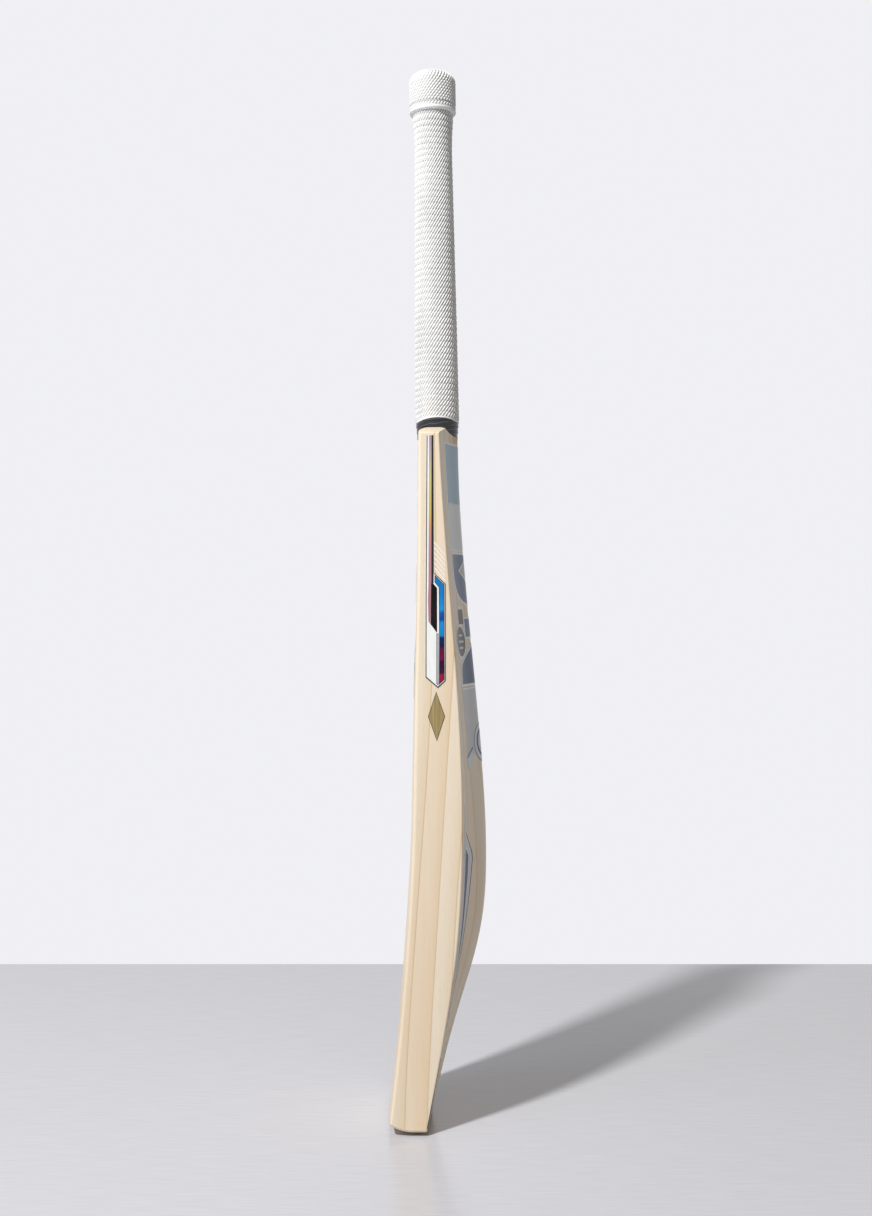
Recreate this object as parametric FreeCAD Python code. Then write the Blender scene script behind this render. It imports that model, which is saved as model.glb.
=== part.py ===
"""Short-handle cricket bat, built the way a bat maker builds it.

A willow blade takes a V-shaped cane splice. The handle is four slabs of three cane strips, laid
parallel to the face with three rubber springs between them, turned round above the shoulders,
whipped with twine and covered by a rubber grip with a turned-back collar. Black tape closes the
throat, a thin guard closes the toe, and printed film labels lie on the face, the back and the edges.

Frame, in millimetres: +Z runs up the handle's axis, the striking face looks along -Y, the spine
along +Y and the edges along -X and +X. The origin is the centre of the flat on the toe.
"""

import FreeCAD
import Part
import math
import os

from FreeCAD import Vector

# ---- driving dimensions, mm -------------------------------------------------------------------
BAT_LENGTH = 857.0
BLADE_WIDTH = 108.0
HANDLE_Y = 20.0  # handle axis, behind the centre of the toe flat

# Blade stations up the bat: height, face crown, front of edge, back of edge, top of spine.
STATIONS = [
    (0.0, -28.4, -25.0, 3.2, 8.0),
    (50.0, -22.0, -18.2, 12.9, 19.2),
    (100.0, -16.7, -12.4, 22.4, 34.4),
    (150.0, -12.4, -7.8, 29.9, 49.0),
    (215.0, -7.4, -3.0, 34.6, 55.1),
    (300.0, -4.1, 0.1, 35.0, 51.9),
    (420.0, 0.5, 4.1, 28.7, 42.3),
    (560.0, 4.6, 7.2, 21.4, 36.6),
]
LOFT_LOW, LOFT_HIGH, LOFT_SECTIONS = -8.0, 572.0, 17
FRONT_CORNER_R = 2.4
BACK_CORNER_R = 1.3
# Flank of the back, from the edge towards the spine: share of the way in, share of the rise.
FLANK = [(0.35, 0.26), (0.70, 0.67)]
FLANK_START = 0.66  # slope where the flank leaves the edge, as a share of its mean slope

# Shoulders and throat
SHOULDER_TOP = 563.2
SHOULDER_INNER_X = 20.0
SHOULDER_SLOPE_DEG = 13.0
SHOULDER_R = 2.5
THROAT_Z = 555.2  # wood ends here on the face and on the back
THROAT_FRONT_Y = 4.6
ARCH_FLAT = (12.5, 20.5)  # the arch is level between these depths

# Toe
TOE_CROSS_R = 400.0  # curve of the toe from edge to edge
TOE_FLAT_SINK = 0.3  # depth the level flat is cut into that curve
TOE_ROUND_R = 38.0  # round of the toe towards the face
TOE_ROUND_FROM_Y = -6.0
TOE_BACK_CHAMFER = 2.0
TOE_GUARD = 1.3

# Splice and handle
SPLICE_TIP_Z = 412.0
SPLICE_TIP_HALF = 2.6
SPLICE_TOP_HALF = 15.3
HANDLE_ROUND_FROM = 551.0
CANE_TOP = 853.0
CANE_TOP_CHAMFER = 1.5
CANE_TAPER_FROM = 575.0  # the handle is straight below this height
# Radius of the turned cane: height, radius.
CANE_RADII = [
    (HANDLE_ROUND_FROM, 15.2),
    (CANE_TAPER_FROM, 15.2),
    (792.0, 12.4),
    (822.0, 13.3),
    (CANE_TOP, 13.3),
]
SPRING_PITCH = 8.0
SPRING_THICKNESS = 1.4
CANE_STRIP_HALF = 4.6  # half the width of the middle strip of each slab

# Whipping twine
TWINE = 1.0
TWINE_TURNS = 20
TWINE_BANDS_AT = [588.0, 636.0, 684.0, 732.0, 768.0]

# Grip, collar and tape
GRIP_BOTTOM = 568.2
GRIP_SADDLE_R = 52.0  # the grip's lower edge rises over the shoulders
GRIP_INNER_GAP = 1.05  # room for the twine between the cane and the bore of the grip
GRIP_OUTER = [(560.0, 18.2), (640.0, 17.5), (792.0, 15.5), (806.0, 15.9), (819.0, 16.8), (CANE_TOP, 16.8)]
COLLAR_BOTTOM = 823.0
COLLAR_R = 19.2
COLLAR_TOP_R = 8.5
COLLAR_LIP_R = 1.6
COLLAR_HOLE_R = 9.0
COLLAR_GROOVE_Z = 831.5
COLLAR_GROOVE_DEPTH = 0.5
TAPE_LOW_R, TAPE_HIGH_R = 16.7, 17.9
TAPE_WRAPS = 4
TAPE_GAP = 0.15

# Labels: outlines are (across, height); those of the back and the face are on the right half.
FILM = 0.2
FACE_LABEL = [(29.0, 548.0), (29.0, 372.0), (0.0, 341.0)]
BACK_HALF = 36.5
UPPER_PANEL = (462.0, 550.0)
SHIELD_HALF = 34.0
SHIELD = (444.0, 461.6, 417.2)  # straight sides down to, top, lowest point
BLOCK = [(16.8, 409.0), (16.8, 391.0), (0.0, 391.0)]
BADGE = (28.5, 389.0, 13.0, 13.5)  # centre, half width and half height
BADGE_BAR = (21.5, 29.0, 395.0, 418.0)
PEAK = [(3.0, 387.6), (30.0, 372.5), (33.4, 366.0), (35.2, 352.8), (0.0, 352.8)]
TAIL = [(34.6, 352.0), (31.4, 318.0), (32.6, 291.0), (29.8, 285.0), (16.0, 297.5), (0.0, 297.5)]
ROUNDEL = (306.0, 16.5)  # centre height, radius
FLASH = [
    (45.8, 260.0),
    (41.0, 237.0),
    (27.0, 220.0),
    (25.6, 214.0),
    (33.3, 170.0),
    (51.6, 60.0),
    (51.6, 160.0),
    (48.0, 212.0),
]
EDGE_LABEL = [
    (11.1, 553.0),
    (16.5, 553.0),
    (15.3, 444.6),
    (24.6, 435.4),
    (23.6, 358.9),
    (17.3, 352.9),
    (7.4, 361.6),
    (8.4, 423.0),
]
EMBLEM_CENTRE = (15.8, 331.0)
EMBLEM_HALF = (6.7, 19.5)

HALF = BLADE_WIDTH / 2
FAR = 120.0  # well outside the bat, for cutting tools


# ---- helpers ----------------------------------------------------------------------------------
def guide(column):
    """A smooth curve through one column of the stations, read as a function of height."""
    heights = [row[0] for row in STATIONS]
    curve = Part.BSplineCurve()
    curve.interpolate(
        Points=[Vector(0, row[column], row[0]) for row in STATIONS], Parameters=heights
    )
    return lambda z: curve.value(z).y if heights[0] <= z <= heights[-1] else beyond(curve, heights, z)


def beyond(curve, heights, z):
    """The curve carried on straight past its first or last station."""
    end = heights[0] if z < heights[0] else heights[-1]
    slope = curve.tangent(end)[0]
    return curve.value(end).y + (z - end) * slope.y / slope.z


FACE, FRONT, BACK, SPINE = (guide(column) for column in (1, 2, 3, 4))


def prism(points, axis, low, high):
    """A straight prism. points are (across, height); axis 'X' or 'Y' is the way it runs."""
    if axis == "Y":
        corners = [Vector(a, low, z) for a, z in points]
        run = Vector(0, high - low, 0)
    else:
        corners = [Vector(low, a, z) for a, z in points]
        run = Vector(high - low, 0, 0)
    return Part.Face(Part.makePolygon(corners + corners[:1])).extrude(run)


def lathe(points, axis_y=HANDLE_Y):
    """A solid turned about the handle's axis. points are (radius, height), closed."""
    corners = [Vector(r, axis_y, z) for r, z in points]
    face = Part.Face(Part.makePolygon(corners + corners[:1]))
    return face.revolve(Vector(0, axis_y, 0), Vector(0, 0, 1), 360)


def one_solid(shape):
    """The single solid in a shape, which a boolean wraps in a compound."""
    solids = shape.Solids
    if len(solids) != 1:
        raise ValueError(f"expected one solid and found {len(solids)}")
    return solids[0]


def save(name, shape):
    """Writes one sub-part, after checking that it is whole."""
    solids = shape.Solids
    if not solids or not shape.isValid() or min(s.Volume for s in solids) <= 0:
        raise ValueError(f"{name} is not a valid solid")
    shape.exportStep(os.path.join("parts", name + ".step"))
    print(f"{name:24s} {len(solids):3d} solids {sum(s.Volume for s in solids):12.1f} mm3")


def along(table, z):
    """Straight-line reading of a (height, value) table."""
    for (z0, v0), (z1, v1) in zip(table, table[1:]):
        if z <= z1:
            return v0 + (v1 - v0) * (z - z0) / (z1 - z0)
    return table[-1][1]


# ---- blade ------------------------------------------------------------------------------------
def blade_section(z, grow=0.0):
    """Outline of the blade at one height, grown outwards by the thickness of a film."""
    r_front, r_back = FRONT_CORNER_R + grow, BACK_CORNER_R + grow
    face, front, back, spine = FACE(z) - grow, FRONT(z), BACK(z), SPINE(z) + grow
    inner = HALF - FRONT_CORNER_R
    drop = front - face
    crown_r = (inner**2 + drop**2 - r_front**2) / (2 * (drop - r_front))
    lean = math.atan2(inner, crown_r - drop)  # where the crown meets the front corner

    def at(x, y):
        return Vector(x, y, z)

    def corner(side, cx, cy, r, a0, a1):
        middle = (a0 + a1) / 2
        points = [at(side * (cx + r * math.cos(a)), cy + r * math.sin(a)) for a in (a0, middle, a1)]
        return points if side > 0 else points[::-1]

    front_arc = (inner, front, r_front, lean - math.pi / 2, 0.0)
    flank_angle = math.atan(FLANK_START * (spine - back) / HALF)
    back_arc = (HALF - BACK_CORNER_R, back - BACK_CORNER_R, r_back, 0.0, math.pi / 2 - flank_angle)
    right_front = corner(1, *front_arc)
    right_back = corner(1, *back_arc)
    left_back = corner(-1, *back_arc)
    left_front = corner(-1, *front_arc)
    start = right_back[-1]
    flank = [at(start.x * (1 - t), start.y + (spine - start.y) * h) for t, h in FLANK]
    top = [start, *flank, at(0, spine), *[at(-p.x, p.y) for p in flank[::-1]], left_back[0]]
    back_curve = Part.BSplineCurve()
    slope = Vector(-math.cos(flank_angle), math.sin(flank_angle), 0)
    back_curve.interpolate(
        Points=top, InitialTangent=slope, FinalTangent=Vector(slope.x, -slope.y, 0)
    )
    edges = [
        Part.Arc(left_front[-1], at(0, face), right_front[0]).toShape(),
        Part.Arc(*right_front).toShape(),
        Part.LineSegment(right_front[-1], right_back[0]).toShape(),
        Part.Arc(*right_back).toShape(),
        back_curve.toShape(),
        Part.Arc(*left_back).toShape(),
        Part.LineSegment(left_back[-1], left_front[0]).toShape(),
        Part.Arc(*left_front).toShape(),
    ]
    return Part.Wire(edges)


def blade_blank(grow=0.0):
    """The pressed and shaped cleft, before its ends are cut."""
    step = (LOFT_HIGH - LOFT_LOW) / (LOFT_SECTIONS - 1)
    wires = [blade_section(LOFT_LOW + i * step, grow) for i in range(LOFT_SECTIONS)]
    return one_solid(Part.makeLoft(wires, True, False, False, 5))


def shoulder_limit():
    """Everything below the shoulders, seen from the front: a gentle slope with rounded corners."""
    slope = math.radians(SHOULDER_SLOPE_DEG)
    reach = HALF + 0.15  # a hair outside the edge, so that the round crosses it cleanly
    cx = reach - SHOULDER_R
    line_z = SHOULDER_TOP - (cx + SHOULDER_R * math.sin(slope) - SHOULDER_INNER_X) * math.tan(slope)
    cz = line_z - SHOULDER_R * math.cos(slope)

    def on_round(angle):
        return Vector(cx + SHOULDER_R * math.cos(angle), -FAR, cz + SHOULDER_R * math.sin(angle))

    first = on_round(math.pi / 2 - slope)
    middle = on_round((math.pi / 2 - slope) / 2)
    last = on_round(0.0)
    inner = Vector(SHOULDER_INNER_X, -FAR, SHOULDER_TOP)
    outer = Vector(FAR, -FAR, last.z)
    low = Vector(FAR, -FAR, -FAR)

    def flip(v):
        return Vector(-v.x, v.y, v.z)

    edges = [
        Part.LineSegment(flip(inner), inner).toShape(),
        Part.LineSegment(inner, first).toShape(),
        Part.Arc(first, middle, last).toShape(),
        Part.LineSegment(last, outer).toShape(),
        Part.LineSegment(outer, low).toShape(),
        Part.LineSegment(low, flip(low)).toShape(),
        Part.LineSegment(flip(low), flip(outer)).toShape(),
        Part.LineSegment(flip(outer), flip(last)).toShape(),
        Part.Arc(flip(last), flip(middle), flip(first)).toShape(),
        Part.LineSegment(flip(first), flip(inner)).toShape(),
    ]
    return Part.Face(Part.Wire(edges)).extrude(Vector(0, 2 * FAR, 0))


def throat_limit():
    """Everything below the arch that the throat makes, seen from the edge."""
    flat_front, flat_back = ARCH_FLAT
    back_y = SPINE(THROAT_Z) + 0.4
    rise = SHOULDER_TOP - THROAT_Z

    def at(y, z):
        return Vector(-FAR, y, z)

    front_round = Part.Arc(
        at(THROAT_FRONT_Y, THROAT_Z),
        at(THROAT_FRONT_Y + 0.34 * (flat_front - THROAT_FRONT_Y), THROAT_Z + 0.72 * rise),
        at(flat_front, SHOULDER_TOP),
    )
    cove = Part.BSplineCurve()
    cove.interpolate(
        Points=[
            at(flat_back, SHOULDER_TOP),
            at(flat_back + 0.45 * (back_y - flat_back), THROAT_Z + 0.52 * rise),
            at(back_y, THROAT_Z + 0.3),
        ],
        InitialTangent=Vector(0, 1, 0),
        FinalTangent=Vector(0, 1, -0.12),
    )
    edges = [
        Part.LineSegment(at(-FAR, THROAT_Z), at(THROAT_FRONT_Y, THROAT_Z)).toShape(),
        front_round.toShape(),
        Part.LineSegment(at(flat_front, SHOULDER_TOP), at(flat_back, SHOULDER_TOP)).toShape(),
        cove.toShape(),
        Part.LineSegment(at(back_y, THROAT_Z + 0.3), at(FAR, THROAT_Z + 0.3)).toShape(),
        Part.LineSegment(at(FAR, THROAT_Z + 0.3), at(FAR, -FAR)).toShape(),
        Part.LineSegment(at(FAR, -FAR), at(-FAR, -FAR)).toShape(),
        Part.LineSegment(at(-FAR, -FAR), at(-FAR, THROAT_Z)).toShape(),
    ]
    return Part.Face(Part.Wire(edges)).extrude(Vector(2 * FAR, 0, 0))


def toe_limit(raise_by=0.0):
    """Everything above the toe. Its side profile is turned about an axis high up the blade,
    which curves the toe from edge to edge; a level cut then leaves the flat it stands on."""
    low = -TOE_FLAT_SINK + raise_by
    centre = Vector(0, TOE_ROUND_FROM_Y, low + TOE_ROUND_R)
    sweep = math.radians(50)

    def on_round(angle):
        return centre + Vector(0, -TOE_ROUND_R * math.sin(angle), -TOE_ROUND_R * math.cos(angle))

    end = on_round(sweep)
    back_y = BACK(0) + 2.5
    chamfer = Vector(0, back_y + TOE_BACK_CHAMFER, low + TOE_BACK_CHAMFER)
    high = TOE_CROSS_R
    edges = [
        Part.Arc(end, on_round(sweep / 2), on_round(0)).toShape(),
        Part.LineSegment(on_round(0), Vector(0, back_y, low)).toShape(),
        Part.LineSegment(Vector(0, back_y, low), chamfer).toShape(),
        Part.LineSegment(chamfer, Vector(0, FAR, chamfer.z + 50)).toShape(),
        Part.LineSegment(Vector(0, FAR, chamfer.z + 50), Vector(0, FAR, high)).toShape(),
        Part.LineSegment(Vector(0, FAR, high), Vector(0, -FAR, high)).toShape(),
        Part.LineSegment(Vector(0, -FAR, high), Vector(0, -FAR, end.z + 60)).toShape(),
        Part.LineSegment(Vector(0, -FAR, end.z + 60), end).toShape(),
    ]
    barrel = Part.Face(Part.Wire(edges)).revolve(Vector(0, 0, high), Vector(0, 1, 0), 360)
    level = Part.makeBox(2 * FAR, 2 * FAR, 8 * FAR, Vector(-FAR, -FAR, raise_by))
    return barrel.common(level)


def splice_wedge():
    """The V of the splice, right through the blade from face to back."""
    top = SHOULDER_TOP + 4
    per_mm = (SPLICE_TOP_HALF - SPLICE_TIP_HALF) / (SHOULDER_TOP - SPLICE_TIP_Z)
    top_half = SPLICE_TOP_HALF + 4 * per_mm
    corners = [
        (-SPLICE_TIP_HALF, SPLICE_TIP_Z),
        (SPLICE_TIP_HALF, SPLICE_TIP_Z),
        (top_half, top),
        (-top_half, top),
    ]
    return prism(corners, "Y", -FAR, FAR)


# ---- handle -----------------------------------------------------------------------------------
def turned_handle():
    """The round part of the handle, from inside the throat to its end."""
    outline = [(0, HANDLE_ROUND_FROM)]
    outline += [(r, z) for z, r in CANE_RADII[:-1]]
    top_r = CANE_RADII[-1][1]
    outline += [
        (top_r, CANE_TOP - CANE_TOP_CHAMFER),
        (top_r - CANE_TOP_CHAMFER, CANE_TOP),
        (0, CANE_TOP),
    ]
    return lathe(outline)


def slab_limits():
    """Depth limits of the four cane slabs and of the three springs between them."""
    planes = [HANDLE_Y + i * SPRING_PITCH for i in (-1, 0, 1)]
    half = SPRING_THICKNESS / 2
    springs = [(y - half, y + half) for y in planes]
    cuts = [-FAR] + [limit for spring in springs for limit in spring] + [FAR]
    slabs = list(zip(cuts[0::2], cuts[1::2]))
    return slabs, springs


def layer(handle, y_limits, x_limits=(-FAR, FAR)):
    """The part of the handle between two depths and two widths."""
    (y0, y1), (x0, x1) = y_limits, x_limits
    box = Part.makeBox(x1 - x0, y1 - y0, BAT_LENGTH, Vector(x0, y0, 0))
    return one_solid(handle.common(box))


def twine_band(low):
    """One whipping: turns of twine side by side, tight on the cane, each with a flattened crest."""
    outline = [(along(CANE_RADII, low), low)]
    for turn in range(TWINE_TURNS):
        z0, z1 = low + turn * TWINE, low + (turn + 1) * TWINE
        crest = along(CANE_RADII, z0) + 0.95 * TWINE
        outline += [(crest, z0 + 0.2 * TWINE), (crest, z1 - 0.2 * TWINE), (crest - 0.4 * TWINE, z1)]
    outline.append((along(CANE_RADII, z1), z1))
    return lathe(outline)


def saddle(clear=0.0):
    """Everything above the grip's lower edge, which rises over the shoulders."""
    centre = Vector(0, -FAR, GRIP_BOTTOM + clear + GRIP_SADDLE_R)
    drum = Part.makeCylinder(GRIP_SADDLE_R, 2 * FAR + HANDLE_Y, centre, Vector(0, 1, 0))
    above = Part.makeBox(2 * FAR, 3 * FAR, BAT_LENGTH, Vector(-FAR, -FAR, centre.z))
    return drum.fuse(above)


def rubber_grip():
    """The ribbed tube that is rolled on to the handle; its outside is the top of its ribs."""
    outer = [(r, z) for z, r in GRIP_OUTER]
    bore_heights = [GRIP_OUTER[0][0]] + [z for z, _ in CANE_RADII[1:]]
    inner = [(along(CANE_RADII, z) + GRIP_INNER_GAP, z) for z in bore_heights]
    tube = lathe(inner + outer[::-1])
    return one_solid(tube.common(saddle()))


def grip_collar():
    """The turned-back cuff at the end of the grip: lip, groove, round shoulder, open top."""
    under = GRIP_OUTER[-1][1]
    top = BAT_LENGTH
    hole_edge = 1.2

    def at(r, z):
        return Vector(r, HANDLE_Y, z)

    points = [at(under, CANE_TOP), at(under, COLLAR_BOTTOM), at(COLLAR_R - COLLAR_LIP_R, COLLAR_BOTTOM)]
    edges = [Part.LineSegment(a, b).toShape() for a, b in zip(points, points[1:])]
    half_turn = math.sqrt(0.5)
    lip_mid = at(
        COLLAR_R - COLLAR_LIP_R + COLLAR_LIP_R * half_turn,
        COLLAR_BOTTOM + COLLAR_LIP_R - COLLAR_LIP_R * half_turn,
    )
    here = at(COLLAR_R, COLLAR_BOTTOM + COLLAR_LIP_R)
    edges.append(Part.Arc(points[-1], lip_mid, here).toShape())
    groove_low = at(COLLAR_R, COLLAR_GROOVE_Z - COLLAR_GROOVE_DEPTH)
    groove_floor = at(COLLAR_R - COLLAR_GROOVE_DEPTH, COLLAR_GROOVE_Z)
    groove_high = at(COLLAR_R, COLLAR_GROOVE_Z + COLLAR_GROOVE_DEPTH)
    edges.append(Part.LineSegment(here, groove_low).toShape())
    edges.append(Part.Arc(groove_low, groove_floor, groove_high).toShape())
    round_start = at(COLLAR_R, top - COLLAR_TOP_R)
    round_mid = at(
        COLLAR_R - COLLAR_TOP_R + COLLAR_TOP_R * half_turn, top - COLLAR_TOP_R + COLLAR_TOP_R * half_turn
    )
    round_end = at(COLLAR_R - COLLAR_TOP_R, top)
    hole_top = at(COLLAR_HOLE_R + hole_edge, top)
    hole_mid = at(COLLAR_HOLE_R + hole_edge * (1 - half_turn), top - hole_edge * (1 - half_turn))
    hole_side = at(COLLAR_HOLE_R, top - hole_edge)
    hole_low = at(COLLAR_HOLE_R, CANE_TOP)
    edges += [
        Part.LineSegment(groove_high, round_start).toShape(),
        Part.Arc(round_start, round_mid, round_end).toShape(),
        Part.LineSegment(round_end, hole_top).toShape(),
        Part.Arc(hole_top, hole_mid, hole_side).toShape(),
        Part.LineSegment(hole_side, hole_low).toShape(),
        Part.LineSegment(hole_low, points[0]).toShape(),
    ]
    return Part.Face(Part.Wire(edges)).revolve(Vector(0, HANDLE_Y, 0), Vector(0, 0, 1), 360)


def throat_tape(wood):
    """Overlapping wraps of tape under the grip and down to the shoulders."""
    cane = CANE_RADII[0][1]
    low = THROAT_Z + 0.3
    high = GRIP_BOTTOM + 6
    step = (high - low) / TAPE_WRAPS
    growth = (TAPE_HIGH_R - TAPE_LOW_R) / (TAPE_WRAPS - 1)
    outline = [(cane, low)]
    for wrap in range(TAPE_WRAPS):
        r, z = TAPE_LOW_R + wrap * growth, low + wrap * step
        outline += [(r, z), (r - 0.12, z + step)]
    outline += [(cane, high)]
    wraps = lathe(outline).cut(saddle(-TAPE_GAP))
    sleeve_r = cane + GRIP_INNER_GAP - 0.05
    sleeve = lathe([(cane, low), (sleeve_r, low), (sleeve_r, CANE_TAPER_FROM), (cane, CANE_TAPER_FROM)])
    return one_solid(wraps.fuse(sleeve).removeSplitter().cut(wood))


# ---- labels -----------------------------------------------------------------------------------
def both_halves(right):
    """A closed outline from its right half, which runs from top to bottom."""
    return right + [(-x, z) for x, z in right[::-1] if x]


def oval(cx, cz, half_width, half_height, steps=32):
    """Corners of an ellipse."""
    angles = [2 * math.pi * i / steps for i in range(steps)]
    return [(cx + half_width * math.cos(a), cz + half_height * math.sin(a)) for a in angles]


def rectangle(x0, x1, z0, z1):
    """Corners of an upright rectangle."""
    return [(x0, z0), (x1, z0), (x1, z1), (x0, z1)]


def shield_outline():
    """A panel with straight sides and a half-ellipse below."""
    straight, top, low = SHIELD
    curve = oval(0.0, straight, SHIELD_HALF, straight - low, 36)[18:]
    return curve + [(SHIELD_HALF, straight), (SHIELD_HALF, top), (-SHIELD_HALF, top)]


def behind(outline):
    """A cutting prism for a label on the back."""
    return prism(outline, "Y", HANDLE_Y, FAR)


def film(skin, cutter):
    """A label: the part of the film-thick skin of the blade inside a prism."""
    return one_solid(skin.common(cutter))


def emblem_outline():
    """A plain upright lozenge."""
    (cy, cz), (hy, hz) = EMBLEM_CENTRE, EMBLEM_HALF
    return [(cy, cz + hz), (cy + hy, cz), (cy, cz - hz), (cy - hy, cz)]


def on_edge(outline, side):
    """A film on the right (+1) or the left (-1) edge of the blade."""
    low, high = (HALF, HALF + FILM) if side > 0 else (-HALF - FILM, -HALF)
    return prism(outline, "X", low, high)


def back_badge(side):
    """Cutting prism of the oval badge on one flank, with the bar that rises from it."""
    cx, cz, half_width, half_height = BADGE
    x0, x1, z0, z1 = BADGE_BAR
    badge = behind(oval(side * cx, cz, half_width, half_height))
    return badge.fuse(behind(rectangle(side * x0, side * x1, z0, z1)))


def save_labels(blank):
    """Every printed film: face, back and edges."""
    skin = blade_blank(FILM).cut(blank)
    save("face_label", film(skin, prism(both_halves(FACE_LABEL), "Y", -FAR, HANDLE_Y)))
    save("back_upper_label", film(skin, behind(rectangle(-BACK_HALF, BACK_HALF, *UPPER_PANEL))))
    save("back_shield_label", film(skin, behind(shield_outline())))
    save("back_block_label", film(skin, behind(both_halves(BLOCK))))
    save("back_peak_label", film(skin, behind(both_halves(PEAK))))
    roundel_z, roundel_r = ROUNDEL
    roundel = behind(oval(0.0, roundel_z, roundel_r, roundel_r, 48))
    save("back_roundel", film(skin, roundel))
    save("back_tail_label", film(skin, behind(both_halves(TAIL)).cut(roundel)))
    for name, side in (("left", -1), ("right", 1)):
        save(f"back_badge_{name}", film(skin, back_badge(side)))
        save(f"back_flash_{name}", film(skin, behind([(side * x, z) for x, z in FLASH])))
        save(f"edge_label_{name}", on_edge(EDGE_LABEL, side))
        save(f"edge_emblem_{name}", on_edge(emblem_outline(), side))


# ---- assembly ---------------------------------------------------------------------------------
def main():
    os.makedirs("parts", exist_ok=True)
    blank = blade_blank()
    shaped = blank.common(shoulder_limit()).common(throat_limit())
    body = one_solid(shaped.common(toe_limit()))
    wood = one_solid(shaped.common(toe_limit(TOE_GUARD)))
    save("toe_guard", one_solid(body.cut(toe_limit(TOE_GUARD))))

    wedge, turned = splice_wedge(), turned_handle()
    save("willow_blade", one_solid(wood.cut(wedge).cut(turned)))

    handle = one_solid(wood.common(wedge).fuse(turned).removeSplitter())
    slabs, springs = slab_limits()
    columns = {
        "left": (-FAR, -CANE_STRIP_HALF),
        "centre": (-CANE_STRIP_HALF, CANE_STRIP_HALF),
        "right": (CANE_STRIP_HALF, FAR),
    }
    for number, slab in enumerate(slabs, 1):
        for column, width in columns.items():
            save(f"cane_slab_{number}_{column}", layer(handle, slab, width))
    for number, spring in enumerate(springs, 1):
        save(f"rubber_spring_{number}", layer(handle, spring))

    for number, low in enumerate(TWINE_BANDS_AT, 1):
        save(f"twine_whipping_{number}", twine_band(low))
    save("rubber_grip", rubber_grip())
    save("grip_collar", grip_collar())
    save("throat_tape", throat_tape(body))

    save_labels(blank)


main()
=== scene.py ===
"""Studio scene of a short-handle cricket bat standing on its toe, edge on to the camera.

The blade, the cane, the twine, the tape and the films are the CAD pieces with their real finishes.
The rubber grip and its collar are modelled here with every nub of their moulded pattern, and the
inks of the labels are laid on the films as thin printed areas. Lengths in the tables are in
millimetres, in the frame of the CAD: +Z up the handle, the face towards -Y, the spine towards +Y.
"""

import bmesh
import bpy
import math
from mathutils import Matrix, Vector
from mathutils.bvhtree import BVHTree


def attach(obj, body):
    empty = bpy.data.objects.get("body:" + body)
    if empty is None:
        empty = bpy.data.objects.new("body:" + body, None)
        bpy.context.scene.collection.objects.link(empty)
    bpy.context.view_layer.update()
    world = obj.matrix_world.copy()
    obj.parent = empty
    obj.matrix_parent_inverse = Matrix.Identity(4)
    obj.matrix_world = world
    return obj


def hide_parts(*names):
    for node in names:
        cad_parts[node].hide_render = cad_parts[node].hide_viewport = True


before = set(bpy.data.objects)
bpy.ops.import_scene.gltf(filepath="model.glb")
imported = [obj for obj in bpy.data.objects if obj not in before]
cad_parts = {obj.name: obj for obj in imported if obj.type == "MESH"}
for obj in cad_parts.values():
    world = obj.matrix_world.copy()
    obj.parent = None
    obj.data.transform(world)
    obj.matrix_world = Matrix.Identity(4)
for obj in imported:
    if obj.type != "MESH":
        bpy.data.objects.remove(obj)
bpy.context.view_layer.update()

MM = 0.001
HANDLE_Y = 20.0  # the handle's axis, behind the middle of the toe
EDGE_X = 54.2  # outside of the film on the edge
LEAN = 0.0148  # the bat leans on its floor by this many radians


# ---- materials --------------------------------------------------------------------------------
def colour(hex_value):
    """An sRGB hex value as linear light."""
    channels = [int(hex_value[i : i + 2], 16) / 255 for i in (0, 2, 4)]
    linear = [c / 12.92 if c <= 0.04045 else ((c + 0.055) / 1.055) ** 2.4 for c in channels]
    return (*linear, 1.0)


def feed(tree, node, inputs):
    """Gives a node its inputs: each is a value, or the output that feeds it."""
    for socket, value in inputs.items():
        if isinstance(value, bpy.types.NodeSocket):
            tree.links.new(value, node.inputs[socket])
        else:
            node.inputs[socket].default_value = value


def add(tree, kind, inputs, stops=(), **settings):
    """Adds a shader node with its settings and links. stops are a ramp's (place, hex value)."""
    node = tree.nodes.new("ShaderNode" + kind)
    for key, value in settings.items():
        setattr(node, key, value)
    for _ in stops[2:]:
        node.color_ramp.elements.new(0.5)
    for i, (place, hex_value) in enumerate(stops):
        node.color_ramp.elements[i].position = place
        node.color_ramp.elements[i].color = colour(hex_value)
    feed(tree, node, inputs)
    return node


def new_material(name):
    """An empty material: its tree, the shader that ends it, and Object coordinates."""
    material = bpy.data.materials.new(name)
    material.use_nodes = True
    tree = material.node_tree
    tree.nodes.clear()
    shader = add(tree, "BsdfPrincipled", {})
    add(tree, "OutputMaterial", {"Surface": shader.outputs["BSDF"]})
    place = add(tree, "TexCoord", {}).outputs["Object"]
    return material, tree, shader, place


RING = 0.0096  # one growth ring, in metres on the slanting measure across the blade


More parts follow.
